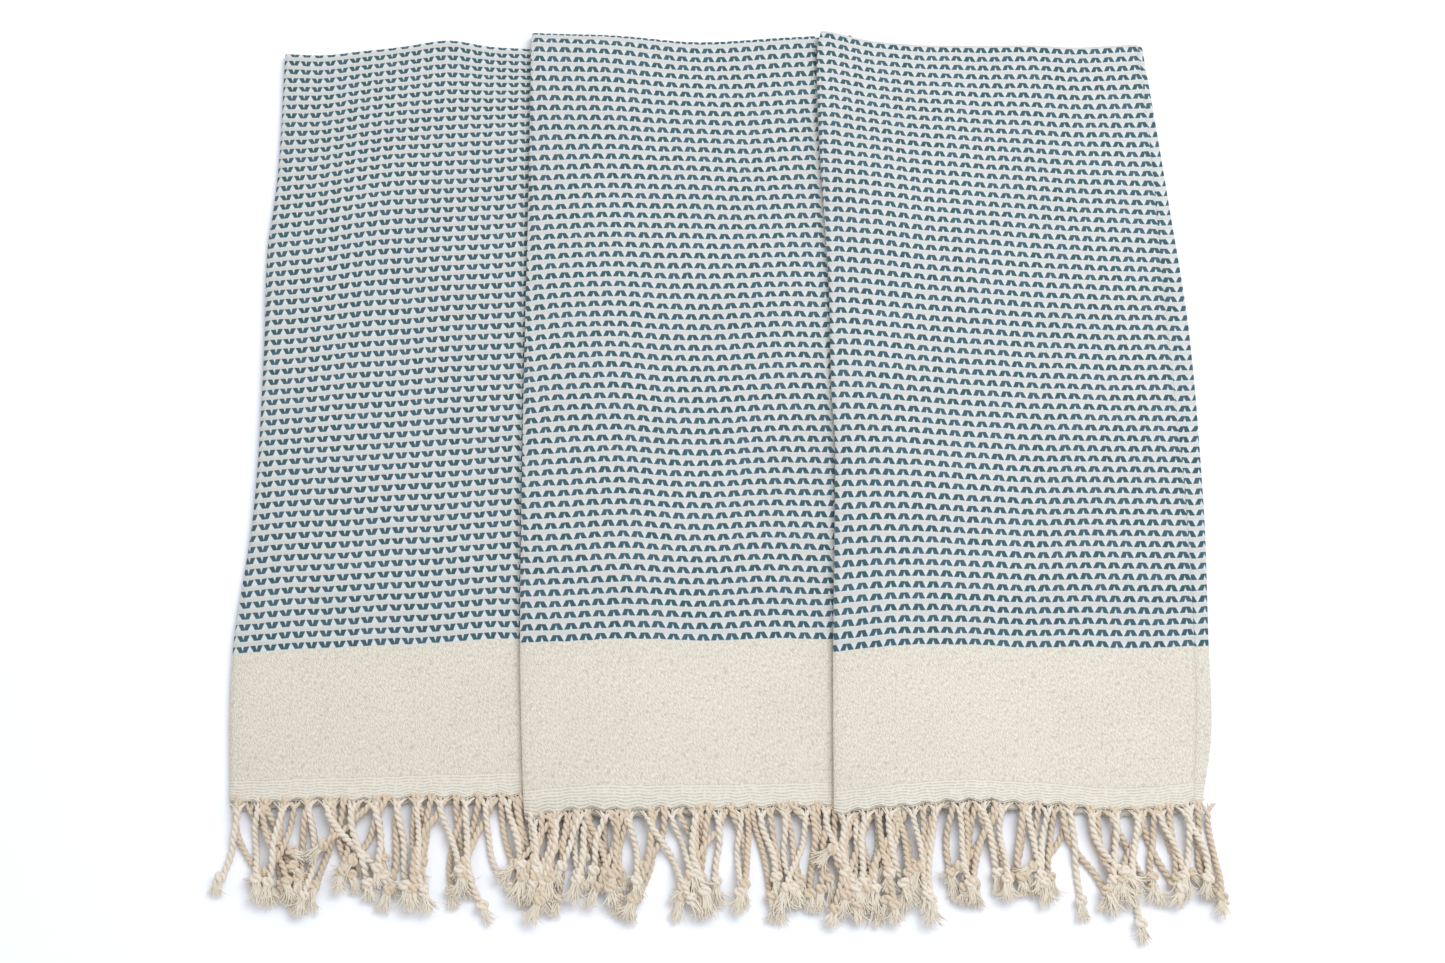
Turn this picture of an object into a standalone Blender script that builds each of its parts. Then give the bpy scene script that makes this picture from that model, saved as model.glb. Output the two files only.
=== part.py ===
# A set of three fringed cotton bath towels, folded and fanned out on a flat surface.
# Each towel is folded in thirds across its width, then in half along its length.
# Metres, +Z up. The fringe points to -Y, the top folds to +Y, and the set is centred
# on the origin with its underside at Z = 0.
import math

import bmesh
import bpy
from mathutils import Matrix, Vector

MM = 0.001

# Cloth of one towel, cut size without its fringe
CLOTH_WIDTH = 0.980
CLOTH_LENGTH = 1.580
CLOTH_THICKNESS = 1.0 * MM
LAYER_GAP = 0.6 * MM             # air between two folded layers
FREE_EDGE_INSET = 16.0 * MM      # top selvedge stands back from the right fold
INNER_EDGE_INSET = 8.0 * MM      # tucked selvedge stands back from the left fold
NARROWING = 13.0 * MM            # the folded towel is this much narrower at its top fold

# Fan: each towel lies over the right edge of the one before it
LEFT_OVERLAP = 75.0 * MM
RIGHT_OVERLAP = 67.0 * MM
LEFT_TURN = math.radians(1.05)
MIDDLE_TURN = math.radians(1.35)
RIGHT_TURN = math.radians(-0.85)
MIDDLE_HEM_SHIFT = -9.0 * MM     # along Y, from the left towel's hem
RIGHT_HEM_SHIFT = -6.0 * MM
FAN_CLEARANCE = 0.4 * MM         # height between a towel and the one that lies on it

# Fringe: a front row of knotted tassels, and the rows below it
TASSELS_PER_TOWEL = 17
CORD_LENGTH = 82.0 * MM
CORD_WIDTH = 7.0 * MM
CORD_HEIGHT = 5.2 * MM
ROOT_SHARE = 0.6                 # a cord leaves its hem at this share of its full size
KNOT_LENGTH = 12.0 * MM
KNOT_WIDTH = 12.0 * MM
KNOT_HEIGHT = 6.2 * MM
TUFT_LENGTH = 22.0 * MM
TUFT_WIDTH = 13.0 * MM
TUFT_HEIGHT = 4.4 * MM
DROOP_LENGTH = 22.0 * MM         # where a tassel has come down from its hem
LENGTH_SPREAD = 9.0 * MM         # tassels are up to this much longer or shorter
LOWER_FRINGE_THICKNESS = 2.0 * MM
LOWER_CORD_WIDTH = 6.5 * MM
LOWER_TUFT_WIDTH = 11.0 * MM
LOWER_FRINGE_LENGTH = 104.0 * MM
HEADING_DEPTH = 5.0 * MM         # strip that the lower cords start from

TOUCH_GAP = 0.3 * MM             # between pieces that touch in the real set
FOLD_SEGMENTS = 4
TOP_FOLD_SEGMENTS = 6
CORD_SIDES = 8

# Worked out from the values above
PITCH = CLOTH_THICKNESS + LAYER_GAP
STACK_HEIGHT = 6 * CLOTH_THICKNESS + 5 * LAYER_GAP
MIDDLE_HEIGHT = STACK_HEIGHT / 2
LEFT_FOLD_RADIUS = PITCH
RIGHT_FOLD_RADIUS = PITCH / 2
LEFT_FOLD_X = LEFT_FOLD_RADIUS + CLOTH_THICKNESS / 2
RIGHT_FOLD_REACH = RIGHT_FOLD_RADIUS + CLOTH_THICKNESS / 2
FOLD_ARCS = math.pi * (LEFT_FOLD_RADIUS + RIGHT_FOLD_RADIUS)
FOLDED_WIDTH = (CLOTH_WIDTH - FOLD_ARCS + FREE_EDGE_INSET + INNER_EDGE_INSET
                + 2 * LEFT_FOLD_X + 2 * RIGHT_FOLD_REACH) / 3
TOP_FOLD_RADIUS = 1.5 * PITCH    # of the middle one of the three layers
TOP_FOLD_Y = (CLOTH_LENGTH - math.pi * TOP_FOLD_RADIUS) / 2
FOLDED_LENGTH = TOP_FOLD_Y + 2.5 * PITCH + CLOTH_THICKNESS / 2
TASSEL_PITCH = FOLDED_WIDTH / TASSELS_PER_TOWEL
TIP_SWAY = (TASSEL_PITCH - TUFT_WIDTH - TOUCH_GAP) / 2    # a tassel's most sideways lean
TASSEL_BED = LOWER_FRINGE_THICKNESS + TOUCH_GAP
TASSEL_ROOT_HEIGHT = STACK_HEIGHT - CLOTH_THICKNESS - ROOT_SHARE * CORD_HEIGHT / 2
FRINGE_HEIGHT = TASSEL_BED + KNOT_HEIGHT

FIELD_COLOR = (0.42, 0.50, 0.53, 1.0)
CREAM_COLOR = (0.80, 0.76, 0.67, 1.0)


def clear_scene():
    for obj in list(bpy.data.objects):
        bpy.data.objects.remove(obj, do_unlink=True)


def make_material(name, color, roughness):
    material = bpy.data.materials.new(name)
    material.use_nodes = True
    shader = material.node_tree.nodes["Principled BSDF"]
    shader.inputs["Base Color"].default_value = color
    shader.inputs["Roughness"].default_value = roughness
    shader.inputs["Metallic"].default_value = 0.0
    return material


def add_piece(name, bm, color, holder, offset=(0.0, 0.0, 0.0)):
    # One closed solid becomes one object under its towel's empty.
    bmesh.ops.recalc_face_normals(bm, faces=bm.faces[:])
    mesh = bpy.data.meshes.new(name)
    bm.to_mesh(mesh)
    bm.free()
    piece = bpy.data.objects.new(name, mesh)
    bpy.context.scene.collection.objects.link(piece)
    piece.data.materials.append(make_material(name, color, 0.9))
    piece.parent = holder
    piece.location = offset
    return piece


def add_empty(name, holder=None, location=(0.0, 0.0, 0.0), rotation=(0.0, 0.0, 0.0)):
    empty = bpy.data.objects.new(name, None)
    bpy.context.scene.collection.objects.link(empty)
    empty.parent = holder
    empty.location = location
    empty.rotation_euler = rotation
    return empty


def drop_inner_face(bm, face):
    # The face that an extrusion or a spin started from is kept only where it closes the solid.
    if any(len(edge.link_faces) > 2 for edge in face.edges):
        bmesh.ops.delete(bm, geom=[face], context="FACES_ONLY")


def extrude_face(bm, face, move):
    grown = bmesh.ops.extrude_face_region(bm, geom=[face])["geom"]
    drop_inner_face(bm, face)
    verts = [item for item in grown if isinstance(item, bmesh.types.BMVert)]
    bmesh.ops.translate(bm, verts=verts, vec=move)
    return next(item for item in grown if isinstance(item, bmesh.types.BMFace))


def thirds_outline():
    # Section across one half of the towel: the outer third (height +PITCH) with its free
    # selvedge at the right, the left fold, the base third (-PITCH), the right fold, and
    # the third tucked in between (0). Gives both sides of the cloth as one closed outline.
    half = CLOTH_THICKNESS / 2
    right_fold_x = FOLDED_WIDTH - RIGHT_FOLD_REACH
    sides = ([], [])
    for side, shift in zip(sides, (half, -half)):
        side.append((FOLDED_WIDTH - FREE_EDGE_INSET, PITCH + shift))
        for step in range(FOLD_SEGMENTS + 1):
            angle = math.pi * (0.5 + step / FOLD_SEGMENTS)
            radius = LEFT_FOLD_RADIUS + shift
            side.append((LEFT_FOLD_X + radius * math.cos(angle), radius * math.sin(angle)))
        for step in range(FOLD_SEGMENTS + 1):
            angle = math.pi * (-0.5 + step / FOLD_SEGMENTS)
            radius = RIGHT_FOLD_RADIUS + shift
            side.append((right_fold_x + radius * math.cos(angle),
                         radius * math.sin(angle) - RIGHT_FOLD_RADIUS))
        side.append((INNER_EDGE_INSET, shift))
    return sides[0] + sides[1][::-1]


def section_face(bm, y, middle, direction):
    # direction is 1 for the upper half and -1 for the lower one, which is its mirror image
    verts = [bm.verts.new((x, y, middle + direction * height)) for x, height in thirds_outline()]
    return bm.faces.new(verts)


def narrow_towards_fold(bm):
    for vert in bm.verts:
        share = max(vert.co.y, 0.0) / FOLDED_LENGTH
        vert.co.x *= 1.0 - share * NARROWING / FOLDED_WIDTH


def whole_cloth():
    # Lower half from the hem to the fold, round the top fold, and back as the upper half
    bm = bmesh.new()
    face = section_face(bm, 0.0, MIDDLE_HEIGHT - TOP_FOLD_RADIUS, -1)
    face = extrude_face(bm, face, (0.0, TOP_FOLD_Y, 0.0))
    turned = bmesh.ops.spin(bm, geom=[face], cent=(0.0, TOP_FOLD_Y, MIDDLE_HEIGHT),
                            axis=(1.0, 0.0, 0.0), angle=math.pi, steps=TOP_FOLD_SEGMENTS)
    drop_inner_face(bm, face)
    face = next(item for item in turned["geom_last"] if isinstance(item, bmesh.types.BMFace))
    extrude_face(bm, face, (0.0, -TOP_FOLD_Y, 0.0))
    narrow_towards_fold(bm)
    return bm


def half_cloth(direction):
    # One half of the towel that opens, cut at its top fold
    bm = bmesh.new()
    face = section_face(bm, 0.0, MIDDLE_HEIGHT + direction * TOP_FOLD_RADIUS, direction)
    extrude_face(bm, face, (0.0, FOLDED_LENGTH, 0.0))
    narrow_towards_fold(bm)
    return bm


def tassel_rings(length_change):
    # Distance from the hem, width and height of each ring along one tassel
    cord_end = CORD_LENGTH + length_change
    knot_end = cord_end + KNOT_LENGTH
    knot_shoulder = KNOT_LENGTH / 4
    return [
        (TOUCH_GAP, ROOT_SHARE * CORD_WIDTH, ROOT_SHARE * CORD_HEIGHT),
        (DROOP_LENGTH, CORD_WIDTH, CORD_HEIGHT),
        (cord_end, CORD_WIDTH, CORD_HEIGHT),
        (cord_end + knot_shoulder, KNOT_WIDTH, KNOT_HEIGHT),
        (knot_end - knot_shoulder, KNOT_WIDTH, KNOT_HEIGHT),
        (knot_end, CORD_WIDTH, CORD_HEIGHT),
        (knot_end + TUFT_LENGTH, TUFT_WIDTH, TUFT_HEIGHT),
    ]


def tassel(sway, length_change):
    # Twisted cord, overhand knot and brush end as one solid, laid along -Y
    rings = tassel_rings(length_change)
    lean = sway / rings[-1][0]
    bm = bmesh.new()
    bmesh.ops.create_circle(bm, segments=CORD_SIDES, radius=0.5, cap_ends=True,
                            matrix=Matrix.Rotation(math.pi / 2, 4, "X"))
    face = bm.faces[:][0]
    last = Vector((0.0, 0.0, 0.0))
    last_size = Vector((1.0, 1.0, 1.0))
    for reach, width, height in rings:
        droop = max(0.0, 1.0 - reach / DROOP_LENGTH)
        laid = TASSEL_BED + height / 2
        middle = Vector((reach * lean, -reach, laid + (TASSEL_ROOT_HEIGHT - laid) * droop))
        size = Vector((width, 1.0, height))
        growth = [new / old for new, old in zip(size, last_size)]
        if last.y:
            face = extrude_face(bm, face, (0.0, 0.0, 0.0))
        bmesh.ops.scale(bm, verts=face.verts[:], vec=growth, space=Matrix.Translation(-last))
        bmesh.ops.translate(bm, verts=face.verts[:], vec=middle - last)
        last, last_size = middle, size
    return bm


def lower_fringe():
    # The cords of the five layers below, joined into one comb that starts at the hems
    bm = bmesh.new()
    far = -LOWER_FRINGE_LENGTH
    outline = [(0.0, -TOUCH_GAP)]
    for index in range(TASSELS_PER_TOWEL):
        centre = (index + 0.5) * TASSEL_PITCH
        half_cord = LOWER_CORD_WIDTH / 2
        outline += [
            (centre - half_cord, -HEADING_DEPTH),
            (centre - half_cord, far + TUFT_LENGTH),
            (centre - LOWER_TUFT_WIDTH / 2, far),
            (centre + LOWER_TUFT_WIDTH / 2, far),
            (centre + half_cord, far + TUFT_LENGTH),
            (centre + half_cord, -HEADING_DEPTH),
        ]
    outline.append((FOLDED_WIDTH, -TOUCH_GAP))
    face = bm.faces.new([bm.verts.new((x, y, 0.0)) for x, y in outline])
    extrude_face(bm, face, (0.0, 0.0, LOWER_FRINGE_THICKNESS))
    return bm


def build_tassels(side, holder, offset=(0.0, 0.0, 0.0)):
    phase = {"left": 0.4, "middle": 2.1, "right": 4.0}[side]
    for index in range(TASSELS_PER_TOWEL):
        sway = TIP_SWAY * math.sin(2.3 * index + phase)
        change = LENGTH_SPREAD * math.sin(1.7 * index + 2 * phase)
        place = Vector(((index + 0.5) * TASSEL_PITCH, 0.0, 0.0)) + Vector(offset)
        add_piece(f"{side}_tassel_{index + 1:02d}", tassel(sway, change), CREAM_COLOR,
                  holder, place)


def edge_x(place, across, along):
    # World X of a point on a towel's long edge, from its place in the fan
    return place["x"] + across * math.cos(place["turn"]) - along * math.sin(place["turn"])


def tilt_rise(carried, height):
    # How high a towel's left edge stands so that it passes over a neighbour of this height,
    # whose edge lies this far in from the left, and comes down to the surface at its right
    return (height + FAN_CLEARANCE) / (1.0 - carried / FOLDED_WIDTH)


def lay_out_fan():
    # Where each towel's hem corner lies, how it is turned, and how it tilts on its neighbour
    left = {"x": 0.0, "y": 0.0, "turn": LEFT_TURN, "rise": 0.0}
    places = [left]
    joins = ((LEFT_OVERLAP, MIDDLE_TURN, MIDDLE_HEM_SHIFT),
             (RIGHT_OVERLAP, RIGHT_TURN, RIGHT_HEM_SHIFT))
    for overlap, turn, shift in joins:
        under = places[-1]
        place = {"x": under["x"] + FOLDED_WIDTH - overlap, "y": shift, "turn": turn}
        under_top = edge_x(under, FOLDED_WIDTH - NARROWING, FOLDED_LENGTH)
        overlap_at_fold = under_top - edge_x(place, 0.0, FOLDED_LENGTH)
        carried = max(overlap, overlap_at_fold)
        under_slope = under["rise"] / FOLDED_WIDTH
        place["rise"] = max(tilt_rise(carried - FREE_EDGE_INSET, STACK_HEIGHT),
                            tilt_rise(carried, FRINGE_HEIGHT),
                            STACK_HEIGHT + FAN_CLEARANCE + carried * under_slope)
        places.append(place)
    return places


def build_towel(side, place):
    tilt = math.asin(place["rise"] / FOLDED_WIDTH)
    holder = add_empty(f"{side}_towel_place", None, (place["x"], place["y"], place["rise"]),
                       (0.0, tilt, place["turn"]))
    add_piece(f"{side}_lower_fringe", lower_fringe(), CREAM_COLOR, holder)
    if side != "right":
        add_piece(f"{side}_towel_cloth", whole_cloth(), FIELD_COLOR, holder)
        build_tassels(side, holder)
        return holder
    # The right towel lies free on top, so its upper half opens about the top fold.
    hinge = Vector((FOLDED_WIDTH / 2, FOLDED_LENGTH, MIDDLE_HEIGHT))
    flap = add_empty("right_towel_fold_line", holder, hinge)
    add_piece("right_towel_lower_half", half_cloth(-1), FIELD_COLOR, holder)
    add_piece("right_towel_upper_half", half_cloth(1), FIELD_COLOR, flap, -hinge)
    build_tassels(side, flap, -hinge)
    return holder


def centre_on_origin(holders):
    bpy.context.view_layer.update()
    corners = [obj.matrix_world @ vert.co for obj in bpy.data.objects if obj.type == "MESH"
               for vert in obj.data.vertices]
    low = Vector([min(co[axis] for co in corners) for axis in range(3)])
    high = Vector([max(co[axis] for co in corners) for axis in range(3)])
    shift = Vector(((low.x + high.x) / 2, (low.y + high.y) / 2, low.z))
    for holder in holders:
        holder.location -= shift
    bpy.context.view_layer.update()


clear_scene()
fan = zip(("left", "middle", "right"), lay_out_fan())
towels = [build_towel(side, place) for side, place in fan]
centre_on_origin(towels)
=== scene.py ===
import math
import random

import bmesh
import bpy
import numpy as np
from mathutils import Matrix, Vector, noise


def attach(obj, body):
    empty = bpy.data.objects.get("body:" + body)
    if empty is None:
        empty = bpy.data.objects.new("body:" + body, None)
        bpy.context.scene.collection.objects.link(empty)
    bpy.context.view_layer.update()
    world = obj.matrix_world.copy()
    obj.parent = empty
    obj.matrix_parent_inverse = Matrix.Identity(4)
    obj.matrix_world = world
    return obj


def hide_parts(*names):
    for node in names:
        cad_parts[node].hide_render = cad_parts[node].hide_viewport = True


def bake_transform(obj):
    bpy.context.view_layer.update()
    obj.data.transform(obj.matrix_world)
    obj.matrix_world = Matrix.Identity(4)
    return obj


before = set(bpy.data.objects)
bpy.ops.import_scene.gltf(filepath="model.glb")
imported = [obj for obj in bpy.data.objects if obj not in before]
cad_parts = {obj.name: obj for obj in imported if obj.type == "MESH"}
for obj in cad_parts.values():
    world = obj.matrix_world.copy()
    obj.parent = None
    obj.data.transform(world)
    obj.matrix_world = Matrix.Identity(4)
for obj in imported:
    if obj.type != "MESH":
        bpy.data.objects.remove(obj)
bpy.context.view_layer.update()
mm = 0.001
collection = bpy.context.scene.collection


def linear(colour):  # 0-255 screen colour to the linear colour that shaders take
    channels = [c / 255 for c in colour]
    return tuple(c / 12.92 if c <= 0.04045 else ((c + 0.055) / 1.055) ** 2.4 for c in channels) + (1,)


def through(stops, at):  # smooth curve through (place, value) stops, level past its ends
    if at <= stops[0][0]:
        return stops[0][1]
    if at >= stops[-1][0]:
        return stops[-1][1]
    i = max(k for k in range(len(stops) - 1) if stops[k][0] <= at)
    (x0, y0), (x1, y1) = stops[i], stops[i + 1]
    before = stops[i - 1] if i else stops[i]
    after = stops[i + 2] if i + 2 < len(stops) else stops[i + 1]
    t = (at - x0) / (x1 - x0)
    rise0 = (y1 - before[1]) / (x1 - before[0]) * (x1 - x0)
    rise1 = (after[1] - y0) / (after[0] - x0) * (x1 - x0)
    return ((2 * t ** 3 - 3 * t ** 2 + 1) * y0 + (t ** 3 - 2 * t ** 2 + t) * rise0
            + (3 * t ** 2 - 2 * t ** 3) * y1 + (t ** 3 - t ** 2) * rise1)


def evenly(values, share):  # smooth curve through values that stand evenly along 0 to 1
    return through([(k / (len(values) - 1), value) for k, value in enumerate(values)], share)


def wander(x, y, seed):  # soft noise from -1 to 1
    return noise.noise(Vector((x, y, seed * 17.3)))


def corner(node, x, y):  # the node's point that lies furthest that way
    points = [v.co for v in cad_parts[node].data.vertices]
    reach = max(p.x * x + p.y * y for p in points)
    return min((p for p in points if p.x * x + p.y * y > reach - 2 * mm), key=lambda p: p.z)


studio = {
    "aim": (0.0088, -0.0262, 0.0),
    "distance": 1.874,
    "elevation": 68.5,         # degrees over the floor
    "lens": 50,
    "floorSize": 8,
    "floorColour": (246, 248, 255),
    "worldColour": (250, 250, 249),
    "worldStrength": 0.76,
    "keyPlace": (0.95, 0.5, 2.3),
    "keySize": 1.7,
    "keyPower": 45.3,
    "keyColour": (243, 249, 255),
}


def aim(thing, target):
    direction = Vector(target) - thing.location
    thing.rotation_mode = "QUATERNION"
    thing.rotation_quaternion = direction.to_track_quat("-Z", "Y")


def makeStudio():
    tilt = math.radians(studio["elevation"])
    cameraData = bpy.data.cameras.new("camera")
    cameraData.lens = studio["lens"]
    cameraData.sensor_width = 36
    camera = bpy.data.objects.new("camera", cameraData)
    back = Vector((0, -math.cos(tilt), math.sin(tilt)))
    camera.location = Vector(studio["aim"]) + back * studio["distance"]
    aim(camera, studio["aim"])
    collection.objects.link(camera)
    bpy.context.scene.camera = camera

    floorMesh = bpy.data.meshes.new("floor")
    sheet = bmesh.new()
    bmesh.ops.create_grid(sheet, x_segments=1, y_segments=1, size=studio["floorSize"] / 2)
    sheet.to_mesh(floorMesh)
    sheet.free()
    floor = bpy.data.objects.new("floor", floorMesh)
    collection.objects.link(floor)
    paint = bpy.data.materials.new("floorPaint")
    paint.use_nodes = True
    shader = paint.node_tree.nodes["Principled BSDF"]
    shader.inputs["Base Color"].default_value = linear(studio["floorColour"])
    shader.inputs["Roughness"].default_value = 0.9
    floorMesh.materials.append(paint)

    lamp = bpy.data.lights.new("softKey", "AREA")
    lamp.size = studio["keySize"]
    lamp.energy = studio["keyPower"]
    lamp.color = linear(studio["keyColour"])[:3]
    key = bpy.data.objects.new("softKey", lamp)
    key.location = studio["keyPlace"]
    aim(key, (0, 0, 0))
    collection.objects.link(key)

    world = bpy.data.worlds.new("paleRoom")
    world.use_nodes = True
    sky = world.node_tree.nodes["Background"]
    sky.inputs["Color"].default_value = linear(studio["worldColour"])
    sky.inputs["Strength"].default_value = studio["worldStrength"]
    bpy.context.scene.world = world
    bpy.context.scene.view_settings.view_transform = "Standard"


makeStudio()
print("studio ready")


class Wire:  # an output socket of a material's node tree, or the bare tree, with arithmetic
    def __init__(self, tree, socket=None):
        self.tree = tree
        self.socket = socket

    def node(self, kind, settings=None, inputs=None, output=0):
        made = self.tree.nodes.new("ShaderNode" + kind)
        for name, value in (settings or {}).items():
            setattr(made, name, value)
        for name, value in (inputs or {}).items():
            if isinstance(value, Wire):
                self.tree.links.new(value.socket, made.inputs[name])
            else:
                made.inputs[name].default_value = value
        return Wire(self.tree, made.outputs[output])

    def math(self, operation, *values, clamp=False):
        return self.node("Math", {"operation": operation, "use_clamp": clamp}, dict(enumerate(values)))

    def __add__(self, other):
        return self.math("ADD", self, other)

    def __radd__(self, other):
        return self.math("ADD", other, self)

    def __sub__(self, other):
        return self.math("SUBTRACT", self, other)

    def __rsub__(self, other):
        return self.math("SUBTRACT", other, self)

    def __mul__(self, other):
        return self.math("MULTIPLY", self, other)

    def __rmul__(self, other):
        return self.math("MULTIPLY", other, self)

    def __truediv__(self, other):
        return self.math("DIVIDE", self, other)

    def __abs__(self):
        return self.math("ABSOLUTE", self)

    def part(self):  # what is left after the whole number
        return self.math("FRACT", self)

    def whole(self):
        return self.math("FLOOR", self)

    def wave(self):  # one cosine wave for each whole number, from 0 to 1
        return self.math("COSINE", self * (2 * math.pi)) * 0.5 + 0.5

    def edge(self, softness):  # 0 below zero and 1 above it, with a soft step
        return self.math("MULTIPLY_ADD", self, 1 / softness, 0.5, clamp=True)

    def least(self, other):
        return self.math("MINIMUM", self, other)

    def mixed(self, low, high):  # colour low where this mask is 0, and high where it is 1
        return self.node("Mix", {"data_type": "RGBA"}, {0: self, 6: low, 7: high}, output=2)

    def clouds(self, scale, detail):  # flat noise at this place
        return self.node("TexNoise", {"noise_dimensions": "2D"},
                         {"Vector": self, "Scale": scale, "Detail": detail})


cutSize = {
    "width": 0.98,
    "length": 1.58,
    "thickness": 1.0 * mm,
    "pitch": 1.6 * mm,          # from one layer to the next
}

weave = {
    "groundColour": (197, 196, 192),
    "groundTint": (210, 216, 219),
    "yarnColour": (36, 70, 77),
    "yarnBlue": (58, 85, 101),
    "yarnLight": (84, 118, 126),
    "creamColour": (224, 218, 206),
    "creamShade": (199, 191, 176),
    "rowPitch": 10.7 * mm,
    "motifShare": 0.56,       # of the row pitch
    "footWidth": 0.475,       # half the motif's width at its wide side, in repeats
    "topWidth": 0.255,
    "notchWidth": 0.10,
    "notchHeight": 0.75,
    "soften": 0.035,
    "bundle": 0.105,          # width of one bundle of yarns, in repeats
    "drift": 1.6 * mm,        # how far the motifs wander across the cloth
    "sway": 1.4 * mm,         # how far they wander along it
    "hemDepth": 20 * mm,
    "ribPitch": 2.7 * mm,
    "ribBreaks": (420, 160, 1),  # along and across the ribs, per metre
    "dashLength": 3.3 * mm,
    "dashWidth": 1.0 * mm,
    "dashTurn": 66,           # degrees from across
    "neps": 210.0,            # little dark knots in the plain band, per metre
    "nepLimit": 0.79,         # the higher, the fewer
    "specks": 900.0,
    "blotches": 14.0,
    "bumpDepth": 0.6 * mm,
}


def clothMaterial(name, repeat, bandDepth, reverse):
    material = bpy.data.materials.new(name)
    material.use_nodes = True
    shader = material.node_tree.nodes["Principled BSDF"]
    tree = Wire(material.node_tree)
    place = tree.node("UVMap", {"uv_map": "cut"})
    across = place.node("SeparateXYZ", None, {0: place}, 0)
    along = place.node("SeparateXYZ", None, {0: place}, 1)
    drift = place.clouds(55.0, 1.0)
    sway = place.clouds(71.0, 1.0)

    fromEnd = along.least(cutSize["length"] - along)  # distance from the nearer hem
    columns = (across + drift * weave["drift"]) / repeat
    patterned = cutSize["length"] - 2 * bandDepth
    rowCount = round(patterned / weave["rowPitch"])
    rows = (along - bandDepth + sway * weave["sway"]) * (rowCount / patterned)
    dice = tree.node("TexWhiteNoise", {"noise_dimensions": "2D"}, {
        "Vector": tree.node("CombineXYZ", None, {0: columns.whole(), 1: rows.whole()})}, "Value")
    x = columns.part() - 0.5
    climb = (rows.part() - 0.14) / weave["motifShare"]
    if reverse:
        climb = 1 - climb
        x = x + climb * 0.05 - 0.045
    side = abs(x)
    lean = weave["footWidth"] - weave["topWidth"]
    soft = weave["soften"]
    body = ((weave["footWidth"] - climb * lean) - side).edge(soft)
    notchEdge = weave["notchWidth"] - climb * (weave["notchWidth"] / weave["notchHeight"])
    notch = (side - notchEdge).edge(soft)
    inRow = climb.edge(2 * soft) * (1 - climb).edge(2 * soft)
    field = (fromEnd - bandDepth).edge(0.6 * mm)
    motif = body * notch * inRow * field
    strands = ((side + climb * lean * 0.95 - weave["notchWidth"]) / weave["bundle"]).wave()

    speck = place.clouds(weave["specks"], 2.0)
    blotch = place.clouds(weave["blotches"], 2.0)
    turned = tree.node("Mapping", {"vector_type": "TEXTURE"}, {
        "Vector": place, "Rotation": (0, 0, math.radians(weave["dashTurn"])),
        "Scale": (weave["dashLength"], weave["dashWidth"], 1)})
    dashes = turned.clouds(1.0, 1.0)
    nep = (place.clouds(weave["neps"], 0.0) - weave["nepLimit"]).edge(0.03)
    hem = (weave["hemDepth"] - fromEnd).edge(1.5 * mm)
    ribs = (fromEnd / weave["ribPitch"] + sway * 0.5).wave()
    broken = tree.node("Mapping", None, {"Vector": place, "Scale": weave["ribBreaks"]}).clouds(1.0, 1.0)
    groove = (0.22 - ribs).edge(0.4) * (broken - 0.44).edge(0.2)
    crepe = (1 - hem) * (1 - field)

    creamMask = ((dashes * 2.8 - 0.85 - nep * 2.2) * crepe + (0.88 - groove * 0.5) * hem
                 + (speck - 0.5) * 0.4)
    cream = creamMask.mixed(linear(weave["creamShade"]), linear(weave["creamColour"]))
    halo = (rows.part() - 0.36).wave() * 0.75 + (speck - 0.5) * 1.1 + 0.1
    ground = halo.mixed(linear(weave["groundColour"]), linear(weave["groundTint"]))
    cloth = field.mixed(cream, ground)
    base = dice.mixed(linear(weave["yarnColour"]), linear(weave["yarnBlue"]))
    thread = (strands * 0.45 + (speck - 0.4) * 0.5).mixed(base, linear(weave["yarnLight"]))
    colour = motif.mixed(cloth, thread)
    tone = tree.node("HueSaturation", None, {"Color": colour, "Value": 0.965 + blotch * 0.07})

    height = (motif * (1.1 - strands * 0.5) * 0.8 + dashes * crepe * 1.1 + (ribs - groove) * hem * 0.55
              + speck * 0.5 + (1 - motif) * field * dashes * 0.5)
    bump = tree.node("Bump", None, {"Height": height, "Strength": 0.9, "Distance": weave["bumpDepth"]})
    tree.tree.links.new(tone.socket, shader.inputs["Base Color"])
    tree.tree.links.new(bump.socket, shader.inputs["Normal"])
    tree.tree.links.new((0.86 + speck * 0.12).socket, shader.inputs["Roughness"])
    shader.inputs["Sheen Weight"].default_value = 0.12
    shader.inputs["Sheen Roughness"].default_value = 0.6
    shader.inputs["Specular IOR Level"].default_value = 0.2
    return material


yarns = {  # fibres: how dense the streaks are, in the yarn's own UV
    "twistedCotton": {
        "colour": (234, 225, 213), "shade": (213, 199, 181), "fibres": (26, 7, 1), "bump": 0.25 * mm,
    },
    # the rear rows' cords: the same cotton as the front cords, painted darker and warmer as painted shade
    # for the gaps under the front row
    "paintedShadeCotton": {
        "colour": (223, 211, 195), "shade": (197, 175, 148), "fibres": (26, 7, 1), "bump": 0.25 * mm,
    },
    "brushedCotton": {
        "colour": (234, 227, 214), "shade": (216, 203, 184), "fibres": (5, 3, 1), "bump": 0.1 * mm,
    },
}


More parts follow.
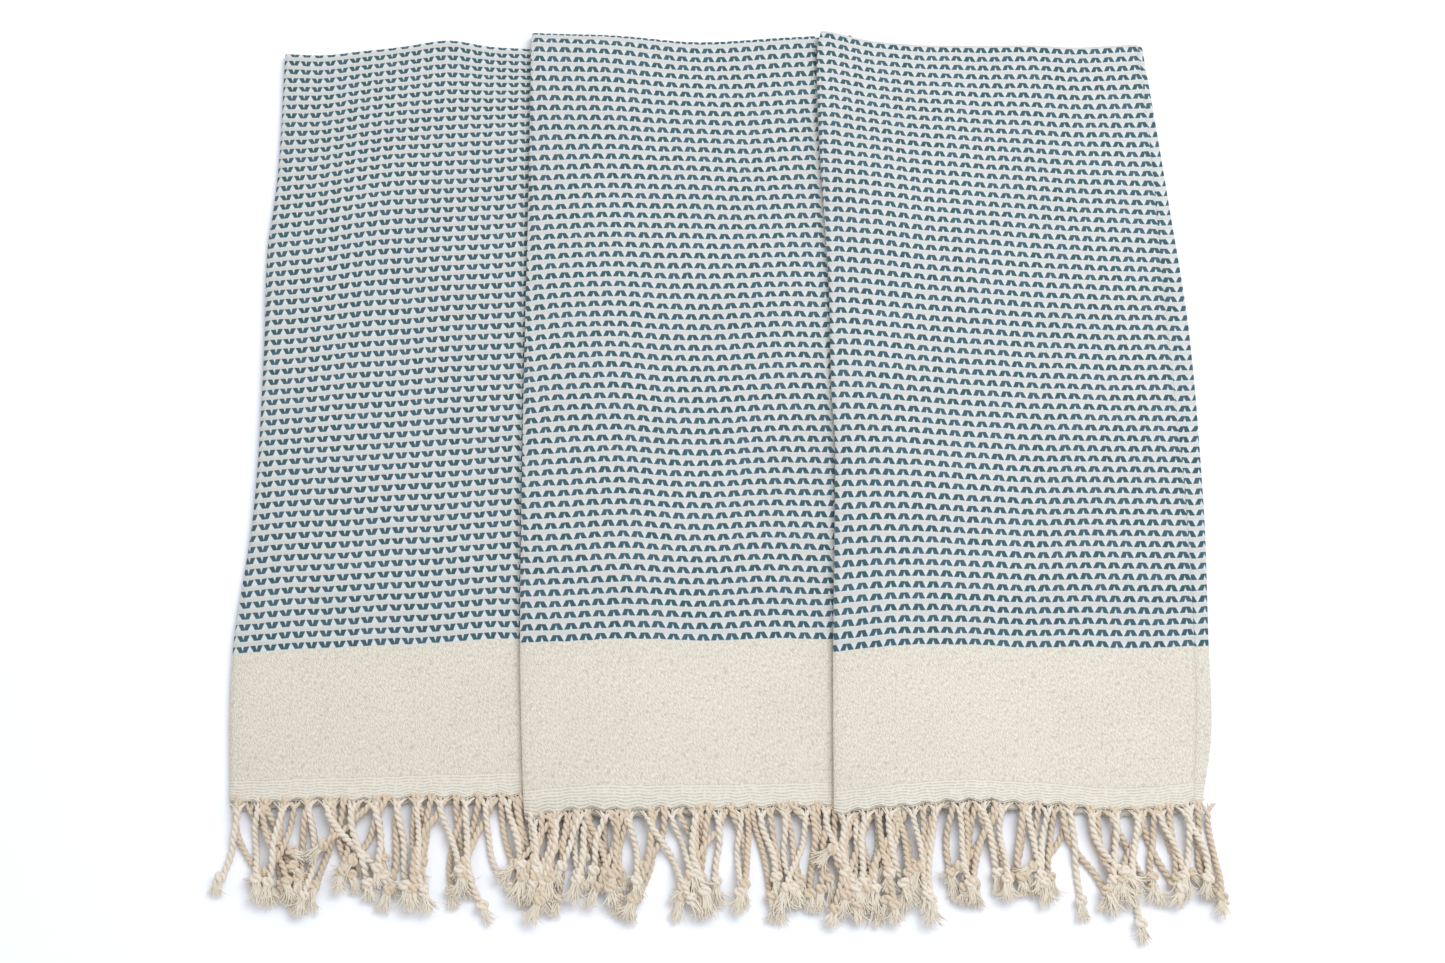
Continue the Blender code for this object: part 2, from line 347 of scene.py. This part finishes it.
def yarnMaterial(name):
    form = yarns[name]
    material = bpy.data.materials.new(name)
    material.use_nodes = True
    shader = material.node_tree.nodes["Principled BSDF"]
    tree = Wire(material.node_tree)
    place = tree.node("UVMap", {"uv_map": "UVMap"})
    stretched = tree.node("Mapping", None, {"Vector": place, "Scale": form["fibres"]})
    fibres = stretched.clouds(1.0, 2.0)
    patches = tree.node("TexNoise", None, {
        "Vector": tree.node("TexCoord", None, None, "Object"), "Scale": 60.0, "Detail": 1.0})
    mask = fibres * 0.7 + patches * 0.45 - 0.08
    paint = mask.mixed(linear(form["shade"]), linear(form["colour"]))
    bump = tree.node("Bump", None, {"Height": fibres, "Strength": 0.7, "Distance": form["bump"]})
    tree.tree.links.new(paint.socket, shader.inputs["Base Color"])
    tree.tree.links.new(bump.socket, shader.inputs["Normal"])
    tree.tree.links.new((0.84 + fibres * 0.14).socket, shader.inputs["Roughness"])
    shader.inputs["Sheen Weight"].default_value = 0.15
    shader.inputs["Sheen Roughness"].default_value = 0.6
    shader.inputs["Specular IOR Level"].default_value = 0.2
    return material


cordMaterial = yarnMaterial("twistedCotton")
# painted shade: the rear rows take the darker, warmer copy of the cord cotton
rearPaintedShadeMaterial = yarnMaterial("paintedShadeCotton")
brushMaterial = yarnMaterial("brushedCotton")
print("materials ready")


# heights over the floor of what lies there already, on a square grid about the origin
pile = {"cell": 2 * mm, "edge": 0.52}
pileCells = int(2 * pile["edge"] / pile["cell"])
clothTop = np.zeros((pileCells, pileCells))
cordTop = np.zeros((pileCells, pileCells))


def cellsOf(x, y):
    i = ((np.asarray(x) + pile["edge"]) / pile["cell"]).astype(int)
    j = ((np.asarray(y) + pile["edge"]) / pile["cell"]).astype(int)
    return np.clip(i, 3, pileCells - 4), np.clip(j, 3, pileCells - 4)


def footprint(reach):  # the cells that a round thing covers, with how far each is from its middle
    cells = int(math.ceil(reach / pile["cell"]))
    for a in range(-cells, cells + 1):
        for b in range(-cells, cells + 1):
            off = math.hypot(a, b) * pile["cell"]
            if off <= reach:
                yield a, b, off


def pileUnder(pileTop, x, y, reach):
    i, j = cellsOf(x, y)
    return np.max([pileTop[np.clip(i + a, 0, pileCells - 1), np.clip(j + b, 0, pileCells - 1)]
                   for a, b, off in footprint(reach)], axis=0)


def addToPile(pileTop, x, y, z, reach, rounded):
    i, j = cellsOf(x, y)
    for a, b, off in footprint(reach):
        top = z + math.sqrt(max(reach * reach - off * off, 0)) if rounded else z
        np.maximum.at(pileTop, (np.clip(i + a, 0, pileCells - 1), np.clip(j + b, 0, pileCells - 1)), top)


def drapeOver(heights, steps, slope):  # the lowest line over these heights that falls no steeper
    for order in (range(1, len(heights)), range(len(heights) - 2, -1, -1)):
        for k in order:
            beside = k - 1 if order.step == 1 else k + 1
            step = abs(steps[k] - steps[beside])
            heights[k] = np.maximum(heights[k], heights[beside] - slope * step)
    return heights


# in mm unless they say otherwise: how far sideways each front cord leans, and its length to the knot;
# edges as (distance from the hem, place), and rows as (distance from the hem, shifts from left to right)
towels = {
    "left": {
        "sways": (-9, -4, -8, 6, 52, 15, 10, 8, 3, 20, 10, 15, 14, 5, -12, -2, -8),
        "reaches": (64, 66, 70, 84, 85, 75, 60, 76, 82, 66, 95, 82, 62, 62, 66, 64, 75),
        "seed": 1, "repeat": 12.35 * mm, "bandDepth": 140 * mm, "reverse": True,
        "leftEdge": [(0, 0), (140, -7), (283, 3), (440, 2), (558, -2), (606, 1), (655, 3), (771, 2)],
        "rightEdge": [(0, 0), (790, -6)],
        "freeEdge": [(0, 318), (790, 314)],
        "rows": [(0, (0, 0, 0)), (137, (-5, 1, 4)), (400, (-10, -1, 8)),
                 (600, (-15, -12, -6, -1, 0, 2, 4, 6, 6)), (700, (-18, -18, -11, -6, -4, -4, -3, -3, -3)),
                 (790, (-21, -24, -19, -14, -9, -18, -22, -24, -24))],
    },
    "middle": {
        "sways": (0, -10, -17, -12, 10, 37, 17, 3, -4, -2, 12, 2, -19, 12, 0, -6, -12),
        "reaches": (58, 60, 50, 52, 60, 86, 60, 72, 62, 72, 62, 70, 72, 62, 74, 76, 64),
        "seed": 2, "repeat": 13.1 * mm, "bandDepth": 151 * mm, "reverse": False,
        "leftEdge": [(0, -1), (150, -6), (400, -6), (600, -4), (790, -3)],
        "rightEdge": [(0, 0), (790, -10)],
        "freeEdge": [(0, 330), (790, 285)],
        "rows": [(0, (-2, 0, 0, 1, 2)), (151, (0, 0, 0, 0, -1)),
                 (400, (-3, -1, 0, -2, -1.5, 0, 0, -1, -1)), (620, (-1, 0, 0, 0, 0)),
                 (790, (12, 6, -2, 1, 6))],
    },
    "right": {
        "sways": (4, -5, 7, 12, -8, 7, 16, 0, 12, -8, 9, 19, -3, -5, 20, 24, -14),
        "reaches": (66, 62, 64, 76, 82, 70, 62, 66, 68, 62, 80, 62, 60, 96, 60, 66, 78),
        "seed": 3, "repeat": 12.8 * mm, "bandDepth": 149 * mm, "reverse": False,
        "leftEdge": [(0, 0), (140, 0), (338, 3), (389, 0), (497, -2), (553, -5), (639, -10),
                     (726, -13), (775, -12), (790, -8)],
        "rightEdge": [(0, -9), (66, 4), (159, 8), (294, 13), (468, 12), (610, 2), (790, -13)],
        "freeEdge": [(0, 315), (108, 324), (300, 327), (480, 322), (680, 318), (790, 313)],
        "rows": [(0, (-5, 4, 7, 4, 8)), (150, (-9, -1, 0, 1, 3)), (400, (4, 0, -1, -2, -2)),
                 (600, (10, 2, -1, -4, -6)), (790, (6, -4, -5, -3, -3, -2, -3, -1, 2))],
    },
}

fold = {
    "columns": (62, 6, 34, 4, 34),   # faces across each panel and each turn
    "rows": (90, 8),                 # faces along each half and round the top fold
    "tuckedInset": 8 * mm,           # from the left fold to the tucked third's edge
    "hang": 0.09,                    # steepest fall of a towel that lies over another
    "topBend": 3.8 * mm,             # what the top fold takes of each half's length
    "restGrid": (60, 80),
    "crease": 0.2,                   # how rounded the left fold is, from 0 for a flat one
    "slack": 0.22,                   # layer spacings here are shares of the usual one
    "fineSlack": 0.10,
    "usualSlack": 0.05,
    "leastSlack": -0.2,
    "leftSpring": -0.3,              # the spacing's change at the left fold
    "rightSpring": 0.45,
    "tightest": 0.68,
    "pressed": 0.05,                 # how far from the top fold the layers are free of its press
    "clearance": 0.3 * mm,
    "ripple": 2.2 * mm,              # of the woven rows
    "hemScallop": 1.9 * mm,
    "hemDrift": 3.5 * mm,
    "hemReach": 0.009,               # how far into the cloth the hem's shape is felt
    "tasselPitch": 19.67 * mm,
    "firstTassel": 9.8 * mm,
}


class Towel:  # one towel's own frame: x from the left fold, y from the hem, on its CAD cloth
    def __init__(self, name, cloth):
        self.name = name
        self.form = towels[name]
        self.origin = corner(cloth, -1, -1)
        farCorner = corner(cloth, 1, -1)
        reach = farCorner - self.origin
        self.acrossAxis = Vector((reach.x, reach.y, 0)).normalized()
        self.alongAxis = Vector((-self.acrossAxis.y, self.acrossAxis.x, 0))
        self.width = reach.length
        self.halfLength = cutSize["length"] / 2 - fold["topBend"]

    def world(self, x, y, z=0.0):
        place = self.origin + self.acrossAxis * x + self.alongAxis * y
        return place.x, place.y, z

    def edge(self, which, y):
        return through(self.form[which], y / mm) * mm

    def hemPlace(self, x):  # the upper hem's edge, pulled out at each cord and wandering a little
        pull = math.cos(2 * math.pi * (x - fold["firstTassel"]) / fold["tasselPitch"])
        drift = wander(x / 0.05, 0, self.form["seed"] + 9)
        return self.rowShift(x, 0) - fold["hemScallop"] * pull + fold["hemDrift"] * drift

    def rowShift(self, x, y):  # how far the row that was woven at y lies from there
        share = min(max(x / self.width, 0), 1)
        stops = [(at, evenly(shifts, share)) for at, shifts in self.form["rows"]]
        ripple = fold["ripple"] * wander(x / 0.07, y / 0.22, self.form["seed"] + 3)
        return through(stops, y / mm) * mm + ripple


def clothStations():  # across the cut: kind of stretch, share along it
    names = ("top", "leftTurn", "middle", "rightTurn", "tucked")
    stations = [("top", 0.0)]
    for name, count in zip(names, fold["columns"]):
        stations += [(name, (k + 1) / count) for k in range(count)]
    return stations


def acrossPlace(towel, stretch, share, y):  # x, layer from mid-height, distance from the free edge
    pitch, half = cutSize["pitch"], cutSize["thickness"] / 2
    crease = pitch * fold["crease"]
    left = towel.edge("leftEdge", y) + crease + half
    right = towel.width + towel.edge("rightEdge", y) - pitch / 2 - half
    free = towel.edge("freeEdge", y)
    tucked = left - pitch + fold["tuckedInset"]
    if stretch == "top":
        x = free + (left - free) * share
        return x, 2.5, free - x
    cut = free - left
    if stretch == "leftTurn":
        angle = math.pi * share
        return left - crease * math.sin(angle), 1.5 + math.cos(angle), cut + pitch * angle
    cut += math.pi * pitch
    if stretch == "middle":
        return left + (right - left) * share, 0.5, cut + (right - left) * share
    cut += right - left
    if stretch == "rightTurn":
        angle = math.pi * share
        return right + pitch / 2 * math.sin(angle), 1 - math.cos(angle) / 2, cut + pitch / 2 * angle
    cut += math.pi * pitch / 2
    return right + (tucked - right) * share, 1.5, cut + (right - tucked) * share


def alongStations():
    half, turn = fold["rows"]
    shares = [(k / half) ** 1.25 for k in range(half + 1)]
    return ([("upper", share) for share in shares]
            + [("turn", (k + 1) / turn) for k in range(turn)]
            + [("lower", share) for share in shares[-2::-1]])


def fading(distance, reach):  # 1 at no distance, and falling off to 0
    return math.exp(-max(distance, 0) / reach)


def swell(towel, x, y):  # how loosely the layers lie on each other
    seed = towel.form["seed"]
    loose = (fold["slack"] * wander(x / 0.11, y / 0.15, seed)
             + fold["fineSlack"] * wander(x / 0.04, y / 0.05, seed + 5))
    fromLeft = x - towel.edge("leftEdge", y)
    fromRight = towel.width + towel.edge("rightEdge", y) - x
    spring = fold["leftSpring"] * fading(fromLeft, 0.008) + fold["rightSpring"] * fading(fromRight, 0.010)
    free = 1 - fading(towel.halfLength - y, fold["pressed"])
    loft = 1 + (fold["usualSlack"] + max(loose, fold["leastSlack"]) + spring) * free
    return max(loft, fold["tightest"])


def hemEnd(towel, layer):  # the lower half's hem, which ends further in under the outer layers
    turn = math.pi * abs(layer) * cutSize["pitch"]
    return 2 * towel.halfLength + turn - cutSize["length"]


def clothPoint(towel, stretch, share, leg, alongShare):
    half = towel.halfLength
    x, layer, cut = acrossPlace(towel, stretch, share, half if leg == "turn" else alongShare * half)
    radius = layer * cutSize["pitch"]
    if leg == "upper":
        y, level, woven, turned = alongShare * half, layer, alongShare * half, 0.0
    elif leg == "turn":
        angle = math.pi * alongShare
        y = half + radius * math.sin(angle)
        level, woven, turned = layer * math.cos(angle), half + radius * angle, alongShare
    else:
        end = hemEnd(towel, layer)
        y = end + (half - end) * alongShare
        level, turned = -layer, 1.0
        woven = cutSize["length"] - (y - end)
    nearHem = fading(min(woven, cutSize["length"] - woven), fold["hemReach"])
    outY = y + towel.rowShift(x, min(y, half)) + (towel.hemPlace(x) - towel.rowShift(x, 0)) * nearHem
    return x, outY, level, (cut, woven), turned


def layClothOn(xs, ys):  # the underside's height over what already lies there
    rests = np.zeros(xs.shape)
    for j in range(xs.shape[1]):
        rests[:, j] = pileUnder(clothTop, xs[:, j], ys[:, j], 6 * mm)
    if rests.max() <= 0:
        return rests
    rests += np.where(rests > 0, fold["clearance"], 0)
    steps = np.hypot(xs - xs[:1], ys - ys[:1])
    rests = drapeOver(rests, steps, fold["hang"])
    for times in range(10):
        inner = rests.copy()
        inner[1:-1] = (rests[:-2] + 2 * rests[1:-1] + rests[2:]) / 4
        inner[:, 1:-1] = (inner[:, :-2] + 2 * inner[:, 1:-1] + inner[:, 2:]) / 4
        rests = np.maximum(inner, rests * 0.985)
    return rests


def restMap(towel):  # the underside's height on a plain grid over the towel
    xs = np.linspace(-0.02, towel.width + 0.02, fold["restGrid"][0])
    ys = np.linspace(-0.012, towel.halfLength + 0.02, fold["restGrid"][1])
    worldX = np.zeros(fold["restGrid"])
    worldY = np.zeros(fold["restGrid"])
    for i, x in enumerate(xs):
        for j, y in enumerate(ys):
            worldX[i, j], worldY[i, j] = towel.world(x, y)[:2]
    return xs, ys, layClothOn(worldX, worldY)


def restAt(towel, x, y):
    xs, ys, rests = towel.rests
    i = min(max((x - xs[0]) / (xs[1] - xs[0]), 0), len(xs) - 1.001)
    j = min(max((y - ys[0]) / (ys[1] - ys[0]), 0), len(ys) - 1.001)
    a, b = int(i), int(j)
    s, t = i - a, j - b
    near = rests[a, b] * (1 - t) + rests[a, b + 1] * t
    far = rests[a + 1, b] * (1 - t) + rests[a + 1, b + 1] * t
    return near * (1 - s) + far * s


def makeCloth(towel, material):
    towel.rests = restMap(towel)
    stations, rows = clothStations(), alongStations()
    sheet = bmesh.new()
    uvs = sheet.loops.layers.uv.new("cut")
    bmesh.ops.create_grid(sheet, x_segments=len(stations) - 1, y_segments=len(rows) - 1, size=0.5)
    cutPlaces, turns, tops = {}, [], []
    for vertex in sheet.verts:
        i = round((vertex.co.x + 0.5) * (len(stations) - 1))
        j = round((vertex.co.y + 0.5) * (len(rows) - 1))
        x, y, level, cutPlace, turned = clothPoint(towel, *stations[i], *rows[j])
        loft = swell(towel, x, y) * cutSize["pitch"]
        z = restAt(towel, x, y) + cutSize["thickness"] / 2 + 0.1 * mm + (level + 2.5) * loft
        vertex.co = towel.world(x, y, z)
        cutPlaces[vertex] = cutPlace
        turns.append(1 - turned)
        tops.append((vertex.co.x, vertex.co.y, z))
    for face in sheet.faces:
        face.smooth = True
        for loop in face.loops:
            loop[uvs].uv = cutPlaces[loop.vert]
    bmesh.ops.recalc_face_normals(sheet, faces=sheet.faces)
    mesh = bpy.data.meshes.new(towel.name + "TowelCloth")
    sheet.to_mesh(mesh)
    sheet.free()
    mesh.materials.append(material)
    cloth = bpy.data.objects.new(towel.name + "TowelCloth", mesh)
    collection.objects.link(cloth)
    wall = cloth.modifiers.new("thickness", "SOLIDIFY")
    wall.thickness = cutSize["thickness"]
    wall.offset = 0
    tops = np.array(tops)
    for pileTop in (clothTop, cordTop):
        addToPile(pileTop, tops[:, 0], tops[:, 1], tops[:, 2] + cutSize["thickness"] / 2, 4.5 * mm, False)
    return cloth, turns


# the fringe: twisted cords, each with a knot and a brush end
tassel = {
    "count": 17,
    "length": 72 * mm,           # of the rear rows' cords
    "lengthSpread": 14 * mm,
    "sway": 20 * mm,
    "step": 1.6 * mm,
    "plyRadius": 1.75 * mm,
    "plyOffset": 1.45 * mm,
    "twist": 11.5 * mm,          # one full turn of the two plies
    "rootSpread": 4.0 * mm,
    "looseYarns": (-1, -0.62, 0.12, 0.7, 1),  # where those that join each cord start
    "looseSpread": 8.0 * mm,
    "looseRadius": 0.55 * mm,
    "gather": 10 * mm,           # how far from the hem the plies come together
    "curl": 24,                  # degrees, typical
    "wiggle": 11,
    "fall": 0.45,                # steepest fall from the hem
    "rootPoints": 4,             # the points that stay between the layers
    "knotWidth": 2.35 * mm,
    "knotTube": 1.9 * mm,
    "knotHeight": 4.6 * mm,
    "knotLobe": 1.4 * mm,
    "knotDepth": 2.6 * mm,
    "knotPoints": 40,
    "brushStrands": 34,
    "brushPoints": 7,
    "brushLength": 18 * mm,
    "brushSpread": 26,
    "brushRadius": 0.6 * mm,
    "brushBend": 35,
    "brushRise": 4.5 * mm,       # how high its yarns stand
    "nestle": 0.7,               # cords press into those that they cross
    "deepest": 12 * mm,
}


def newFringe(name, material):
    curve = bpy.data.curves.new(name, "CURVE")
    curve.dimensions = "3D"
    curve.bevel_depth = mm
    curve.bevel_resolution = 2
    curve.use_fill_caps = True
    curve.materials.append(material)
    curve.materials.append(brushMaterial)
    return curve


def addStrand(curve, points, radii, kind=0, closed=False):
    spline = curve.splines.new("POLY")
    spline.points.add(len(points) - 1)
    for knot, place, radius in zip(spline.points, points, radii):
        knot.co = (place[0], place[1], place[2], 1)
        knot.radius = radius / mm
    spline.material_index = kind
    spline.use_cyclic_u = closed


def cordLine(rootX, rootY, sway, length, rng):  # the cord's middle seen from above
    lean = math.asin(max(min(sway / length, 0.95), -0.95))
    curl = math.radians(rng.gauss(0, tassel["curl"]))
    wiggle = math.radians(rng.uniform(0.3, 1) * tassel["wiggle"])
    phase = rng.uniform(0, 2 * math.pi)
    count = int(length / tassel["step"])
    x, y = rootX, rootY
    line = [(x, y)]
    for k in range(count):
        share = k / count
        heading = lean * min(1.1, share * 5) + curl * (share - 0.4)
        heading += wiggle * math.sin(phase + 7 * share)
        x += tassel["step"] * math.sin(heading)
        y -= tassel["step"] * math.cos(heading)
        line.append((x, y))
    return line


def softened(height):  # cords sink into a deep pile of them
    most = tassel["deepest"]
    return most * np.tanh(np.maximum(height, 0) / most)


def settle(xs, ys, radius, start):  # heights of the middle of a cord that comes down from start
    pressedIn = radius * (1 - tassel["nestle"])
    need = radius + softened(pileUnder(cordTop, xs, ys, radius * 0.7) - pressedIn)
    run = np.arange(len(xs)) * tassel["step"]
    need[:tassel["rootPoints"]] = start
    heights = drapeOver(need.copy(), run, tassel["fall"])
    for times in range(4):
        heights[1:-1] = (heights[:-2] + 2 * heights[1:-1] + heights[2:]) / 4
    return np.maximum(heights, radius)


def addTassel(curve, towel, root, sway, length, rng):
    rootX, rootY, rootZ = root
    line = cordLine(rootX, rootY, sway, length, rng)
    places = np.array([towel.world(x, y)[:2] for x, y in line])
    size = rng.uniform(0.9, 1.08)
    thick = (tassel["plyRadius"] + tassel["plyOffset"]) * size
    heights = settle(places[:, 0], places[:, 1], thick, rootZ)
    middle = [Vector((x, y, z)) for (x, y), z in zip(places, heights)]
    twist = tassel["twist"] * rng.uniform(0.88, 1.15)
    turn = rng.uniform(0, 2 * math.pi)
    plies = ([], [])
    radii = []
    for k, point in enumerate(middle):
        ahead = (middle[min(k + 1, len(middle) - 1)] - middle[max(k - 1, 0)]).normalized()
        sideways = ahead.cross(Vector((0, 0, 1))).normalized()
        up = sideways.cross(ahead)
        run = k * tassel["step"]
        gathered = min(run / tassel["gather"], 1)
        gathered = gathered * gathered * (3 - 2 * gathered)
        angle = turn * gathered + 2 * math.pi * run / twist
        twisted = (sideways * math.cos(angle) + up * math.sin(angle)) * tassel["plyOffset"] * size
        flat = sideways * tassel["rootSpread"]
        for sign, ply in zip((1, -1), plies):
            ply.append(point + sign * (twisted * gathered + flat * (1 - gathered)))
        radii.append(tassel["plyRadius"] * size * (0.3 + 0.7 * min(3 * gathered, 1)))
    for ply in plies:
        addStrand(curve, ply, radii)
    joined = int(tassel["gather"] / tassel["step"]) + 1
    across = Vector((towel.acrossAxis.x, towel.acrossAxis.y, 0))
    for start in tassel["looseYarns"]:
        spread = start * tassel["looseSpread"] * rng.uniform(0.8, 1.1)
        strand = []
        for k in range(joined):
            gathered = (k / (joined - 1)) ** 0.8
            rise = Vector((0, 0, 0.3 * mm * gathered))
            strand.append(middle[k] + across * spread * (1 - gathered) + rise)
        addStrand(curve, strand, [tassel["looseRadius"]] * joined)
    pressedTop = heights - thick * (1 - tassel["nestle"])
    addToPile(cordTop, places[:, 0], places[:, 1], pressedTop, thick, True)
    addBrush(curve, rng, *addKnot(curve, middle, rng, size))


def addKnot(curve, middle, rng, size):
    ahead = (middle[-1] - middle[-5]).normalized()
    sideways = ahead.cross(Vector((0, 0, 1))).normalized()
    wide, tube = tassel["knotWidth"] * size, tassel["knotTube"] * size
    centre = middle[-1] + ahead * wide * 0.8
    under = float(softened(pileUnder(cordTop, [centre.x], [centre.y], 3 * mm)[0] - 1.5 * mm))
    centre.z = under + tassel["knotHeight"] * size
    roll = rng.uniform(0, 2 * math.pi)
    up = Vector((0, 0, 1))
    loop = []
    count = tassel["knotPoints"]
    for k in range(count):
        t = 2 * math.pi * k / count
        ring = wide + tassel["knotLobe"] * math.cos(3 * t)
        turned = sideways * ring * math.cos(2 * t + roll) * 1.1 + up * ring * math.sin(2 * t + roll) * 0.62
        loop.append(centre + turned + ahead * tassel["knotDepth"] * math.sin(3 * t))
    addStrand(curve, loop, [tube] * count, closed=True)
    addToPile(cordTop, [centre.x], [centre.y], np.array([centre.z - 2 * mm]), 5 * mm * size, True)
    return centre, ahead, sideways, under


def addBrush(curve, rng, centre, ahead, sideways, under):
    up = Vector((0, 0, 1))
    length = tassel["brushLength"] * rng.uniform(0.75, 1.25)
    for strand in range(tassel["brushStrands"]):
        spread = math.radians(rng.gauss(0, tassel["brushSpread"] * 0.55))
        bend = math.radians(rng.gauss(0, tassel["brushBend"]))
        start = centre + ahead * 2.5 * mm
        start = start + sideways * rng.uniform(-3, 3) * mm + up * rng.uniform(-2, 2) * mm
        reach = length * rng.uniform(0.7, 1.1)
        count = tassel["brushPoints"]
        point = start
        points = [point]
        lift = rng.uniform(0, 1)
        for k in range(1, count):
            share = k / (count - 1)
            heading = spread * min(1, 2 * share) + bend * share * share
            way = ahead * math.cos(heading) + sideways * math.sin(heading)
            point = point + Vector((way.x, way.y, 0)) * (reach / (count - 1))
            level = 0.8 * mm + tassel["brushRise"] * lift * (1 - 0.5 * share)
            point.z = start.z + (under + level - start.z) * min(1, share * 1.3)
            points.append(point.copy())
        radius = tassel["brushRadius"] * rng.uniform(0.75, 1.2)
        radii = [radius * (1 - 0.55 * (k / (count - 1)) ** 2) for k in range(count)]
        addStrand(curve, points, radii, kind=1)


def fringePiece(curve, body, replaced):
    draft = bpy.data.objects.new(curve.name + "Curve", curve)
    mesh = bpy.data.meshes.new_from_object(draft)
    mesh.name = curve.name
    piece = bpy.data.objects.new(curve.name, mesh)
    collection.objects.link(piece)
    bpy.data.objects.remove(draft)
    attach(piece, body)
    if replaced:
        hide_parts(replaced)
    return piece


def hemHeight(towel, x, y, level):
    loft = cutSize["pitch"] * swell(towel, x, y)
    return restAt(towel, x, y) + cutSize["thickness"] / 2 + (level + 2.5) * loft


def makeFringe(towel, upperBody, lowerBody):
    rng = random.Random(towel.form["seed"] * 101)
    name = towel.name
    pieces = []
    rearRows = [("UnderRow", -2.5, 0.45, lowerBody, f"{name}_lower_fringe"),
                ("TuckedRow", 1.5, 0.75, upperBody, None)]
    for label, level, stagger, body, replaced in rearRows:
        curve = newFringe(name + label, rearPaintedShadeMaterial)
        hem = hemEnd(towel, level) if level < 0 else 0
        for k in range(tassel["count"]):
            step = k + stagger - 0.4 + rng.uniform(-0.3, 0.3)
            x = fold["firstTassel"] + step * fold["tasselPitch"] * 0.97
            y = hem + towel.rowShift(x, 0) + 1 * mm
            sway = rng.gauss(0, tassel["sway"])
            sway = min(max(sway, -8 * mm - x), towel.width + 4 * mm - x)
            length = tassel["length"] + rng.uniform(-1, 1) * tassel["lengthSpread"]
            addTassel(curve, towel, (x, y, hemHeight(towel, x, y, level)), sway, length, rng)
        pieces.append(fringePiece(curve, body, replaced))
    for k in range(tassel["count"]):
        curve = newFringe(f"{name}Tassel{k + 1:02d}", cordMaterial)
        x = fold["firstTassel"] + k * fold["tasselPitch"] + rng.uniform(-2, 2) * mm
        x = min(x, towel.edge("freeEdge", 0) - 3 * mm)
        y = towel.hemPlace(x) + 1.0 * mm
        sway, length = towel.form["sways"][k] * mm, towel.form["reaches"][k] * mm
        addTassel(curve, towel, (x, y, hemHeight(towel, x, y, 2.5)), sway, length, rng)
        pieces.append(fringePiece(curve, upperBody, f"{name}_tassel_{k + 1:02d}"))
    return pieces


def makeTowel(name, cloth, upperCloth, lowerBody, upperBody):
    towel = Towel(name, cloth)
    form = towel.form
    material = clothMaterial(name + "Weave", form["repeat"], form["bandDepth"], form["reverse"])
    piece, turns = makeCloth(towel, material)
    if lowerBody == upperBody:
        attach(piece, lowerBody)
    else:  # the turn shares are set on the vertices for a moment, the mesh is baked in place, and the folded places are put back
        folded = np.zeros(len(piece.data.vertices) * 3)
        piece.data.vertices.foreach_get("co", folded)
        straight = np.array([(0, turn, 0) for turn in turns])
        piece.data.vertices.foreach_set("co", straight.ravel())
        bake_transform(piece)
        piece.data.vertices.foreach_set("co", folded)
        piece.data.update()
    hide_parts(*sorted({cloth, upperCloth}))
    fringe = makeFringe(towel, upperBody, lowerBody)
    print(name, "towel ready, top at", round(float(cordTop.max()) / mm, 1), "mm")


makeTowel("left", "left_towel_cloth", "left_towel_cloth", "left_towel", "left_towel")
makeTowel("middle", "middle_towel_cloth", "middle_towel_cloth", "middle_towel", "middle_towel")
makeTowel("right", "right_towel_lower_half", "right_towel_upper_half", "right_towel", "right_towel_flap")
